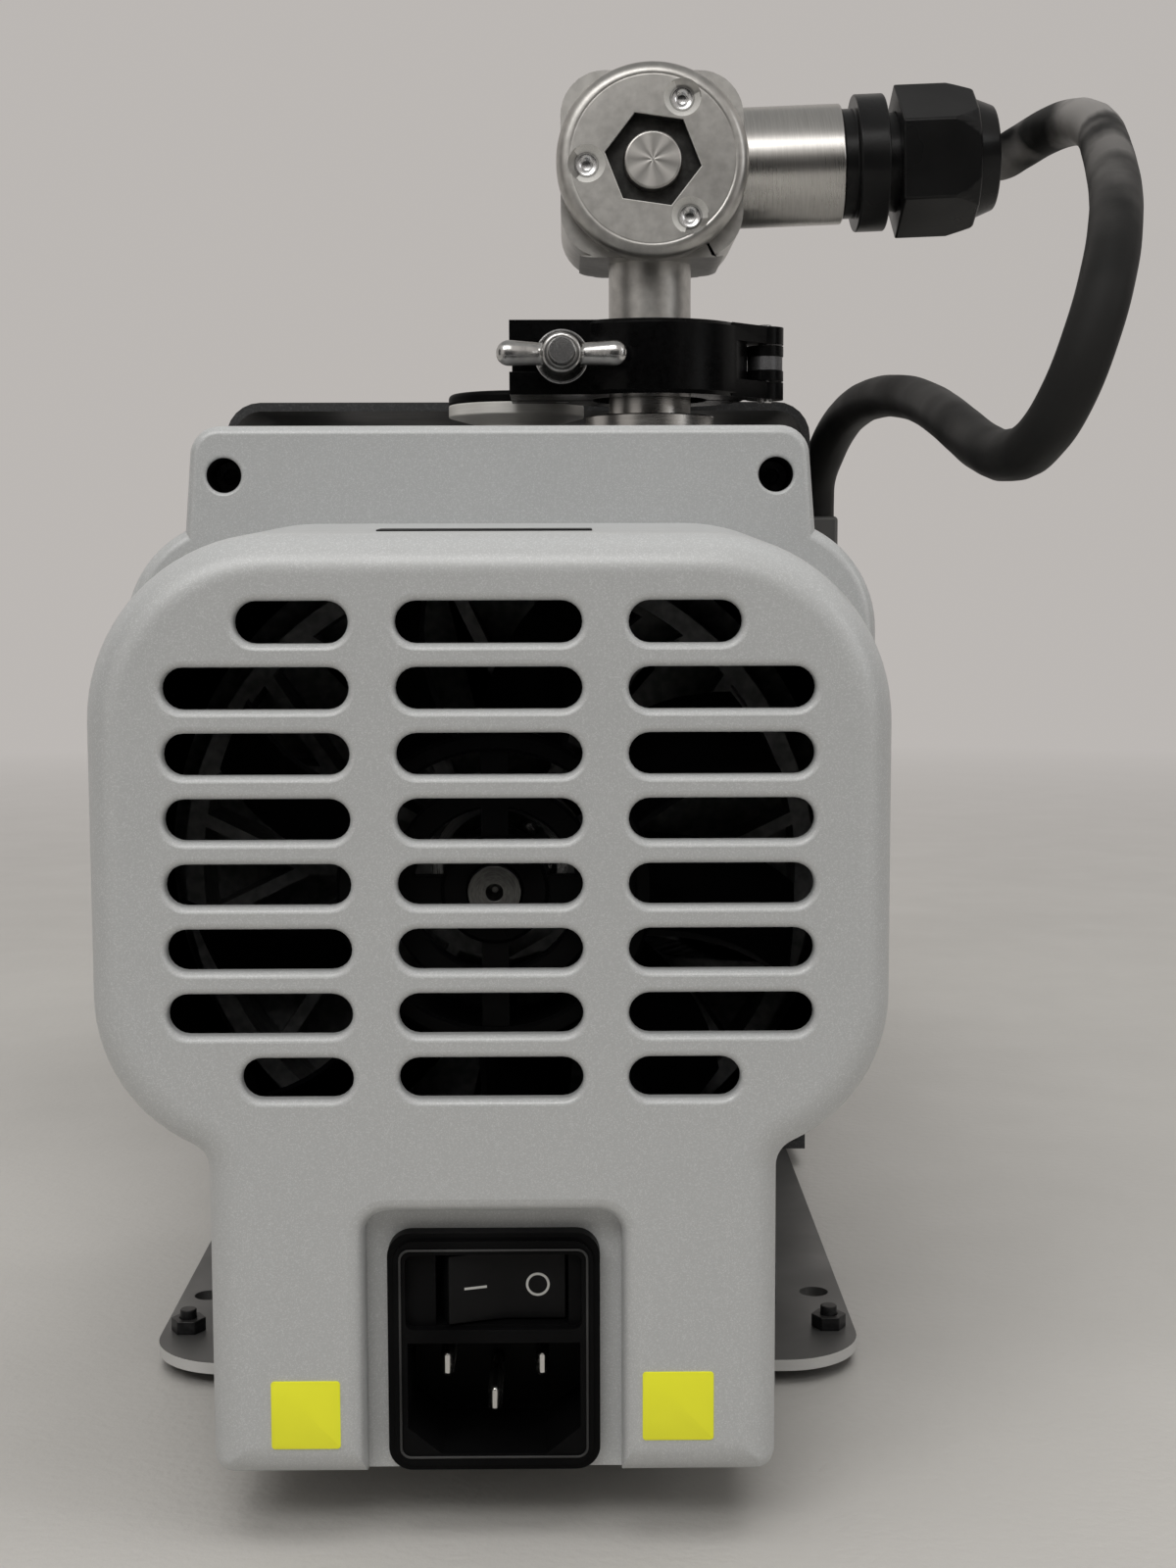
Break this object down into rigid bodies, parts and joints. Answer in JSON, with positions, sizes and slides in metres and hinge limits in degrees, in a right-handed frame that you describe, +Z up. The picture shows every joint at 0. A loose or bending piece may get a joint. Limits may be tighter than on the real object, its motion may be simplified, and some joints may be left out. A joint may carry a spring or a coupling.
{
  "type": "dry scroll vacuum pump",
  "caption": "Small dry scroll vacuum pump with a slotted fan cowl, a mains inlet with a switch, an open rear cover and a clamped electric inlet valve with its cable.",
  "frame": {"origin": "on the floor, below the centre of the base plate", "axes": "+X to the pump's right seen from its front (the fan cowl), +Y to the rear, +Z up; the shaft runs along Y"},
  "size_m": [0.1859, 0.356, 0.2439],
  "materials": {
    "grey_sheet": "satin grey powder coat",
    "black_rubber": "matte",
    "black_steel": "black oxide",
    "cowl_paint": "pale silver grey, fine sparkle texture",
    "black_plastic": "fine matte texture",
    "pin_metal": "nickel plated",
    "rocker_plastic": "smooth",
    "cast_grey": "cast, matte",
    "seal_white": "smooth",
    "machined_alloy": "machined",
    "ground_steel": "ground",
    "dark_steel": "dark, satin",
    "fan_plastic": "moulded",
    "bronze": "machined",
    "motor_paint": "satin",
    "copper_wire": "varnished",
    "cover_paint": "satin dark grey",
    "stainless": "turned",
    "polished_stainless": "polished",
    "brushed_post": "faced, radial marks",
    "cap_plastic": "moulded",
    "black_coated": "black coated casting",
    "cast_nut": "cast, tumbled",
    "gland_plastic": "smooth matte",
    "cable_rubber": "dark grey, chalky marks"
  },
  "bodies": {
    "pump": {"base_plate": "grey_sheet", "rubber_feet": "black_rubber", "foot_studs": "black_steel", "foot_nuts": "black_steel", "fan_cowl": "cowl_paint", "cowl_screws": "black_steel", "power_inlet": "black_plastic", "inlet_pins": "pin_metal", "fixed_scroll": "cast_grey", "fixed_tip_seal": "seal_white", "main_bearings": "ground_steel", "frame_bushes": "bronze", "frame_casting": "cast_grey", "housing_bolts": "dark_steel", "frame_bolts": "dark_steel", "motor_shell": "motor_paint", "stator_core": "dark_steel", "stator_windings": "copper_wire", "motor_end_bell": "cast_grey", "motor_foot": "motor_paint", "rear_cover": "cover_paint", "cover_screws": "black_steel", "rear_grille": "cover_paint", "inlet_port": "stainless", "centring_ring": "stainless", "o_ring": "black_rubber", "exhaust_port": "stainless", "clamp_rear_jaw": "black_coated", "clamp_hinge_pin": "ground_steel", "clamp_bolt": "ground_steel", "valve_body": "polished_stainless", "valve_disc": "polished_stainless", "disc_screws": "ground_steel", "centre_post": "brushed_post", "valve_coil": "copper_wire", "valve_spring": "ground_steel", "side_arm": "polished_stainless", "cable_gland": "gland_plastic", "gland_nut": "gland_plastic", "gland_seal": "black_rubber", "valve_cable": "cable_rubber", "cable_entry": "gland_plastic"},
    "crank": {"crankshaft": "ground_steel", "cooling_fan": "fan_plastic", "counterweight": "dark_steel", "rotor": "dark_steel"},
    "orbiter": {"orbiting_scroll": "machined_alloy", "orbiting_tip_seal": "seal_white", "crank_bearing": "ground_steel", "orbit_bushes": "bronze"},
    "idler_1": {"idler_crank_1": "ground_steel"},
    "idler_2": {"idler_crank_2": "ground_steel"},
    "idler_3": {"idler_crank_3": "ground_steel"},
    "switch_rocker": {"rocker": "rocker_plastic"},
    "front_jaw": {"clamp_front_jaw": "black_coated"},
    "washer": {"clamp_washer": "stainless"},
    "clamp_nut": {"wing_nut": "cast_nut"},
    "plunger": {"valve_plunger": "ground_steel", "valve_seat_seal": "black_rubber"},
    "dust_cap": {"exhaust_cap": "cap_plastic"}
  },
  "joints": [
    {"name": "crank_spin", "type": "hinge", "parent": "pump", "child": "crank", "pos_m": [0, 0.03, 0.094], "axis": [0, 1, 0], "continuous": true},
    {"name": "orbit", "type": "hinge", "parent": "crank", "child": "orbiter", "pos_m": [0, -0.09, 0.0969], "axis": [0, 1, 0], "continuous": true},
    {"name": "idler_1_spin", "type": "hinge", "parent": "pump", "child": "idler_1", "pos_m": [0, -0.07, 0.127], "axis": [0, 1, 0], "continuous": true},
    {"name": "idler_2_spin", "type": "hinge", "parent": "pump", "child": "idler_2", "pos_m": [-0.02858, -0.07, 0.0775], "axis": [0, 1, 0], "continuous": true},
    {"name": "idler_3_spin", "type": "hinge", "parent": "pump", "child": "idler_3", "pos_m": [0.02858, -0.07, 0.0775], "axis": [0, 1, 0], "continuous": true},
    {"name": "rocker_tilt", "type": "hinge", "parent": "pump", "child": "switch_rocker", "pos_m": [0.0012, -0.1865, 0.0376], "axis": [0, 0, 1], "range_deg": [-18, 0]},
    {"name": "jaw_open", "type": "hinge", "parent": "pump", "child": "front_jaw", "pos_m": [0.053, -0.0374, 0.1854], "axis": [0, 0, 1], "range_deg": [0, 4.2]},
    {"name": "washer_travel", "type": "slide", "parent": "pump", "child": "washer", "axis": [0, -1, 0], "range_m": [0, 0.0032]},
    {"name": "wing_nut_spin", "type": "hinge", "parent": "washer", "child": "clamp_nut", "pos_m": [0.0102, -0.06, 0.1854], "axis": [0, -1, 0], "range_deg": [0, 1460]},
    {"name": "plunger_slide", "type": "slide", "parent": "pump", "child": "plunger", "axis": [0, -1, 0], "range_m": [0, 0.003], "stiffness_N_per_m": 150, "springref_m": -0.002, "deforming": ["valve_spring"]},
    {"name": "exhaust_cap_lift", "type": "slide", "parent": "pump", "child": "dust_cap", "axis": [0, 0, 1], "range_m": [0, 0.02]}
  ],
  "couplings": [
    {"joint": "orbit", "follows": "crank_spin", "ratio": -1},
    {"joint": "idler_1_spin", "follows": "crank_spin", "ratio": 1},
    {"joint": "idler_2_spin", "follows": "crank_spin", "ratio": 1},
    {"joint": "idler_3_spin", "follows": "crank_spin", "ratio": 1},
    {"joint": "wing_nut_spin", "follows": "washer_travel", "rad_per_m": 7854},
    {"joint": "jaw_open", "follows": "washer_travel", "rad_per_m": 20.492}
  ]
}
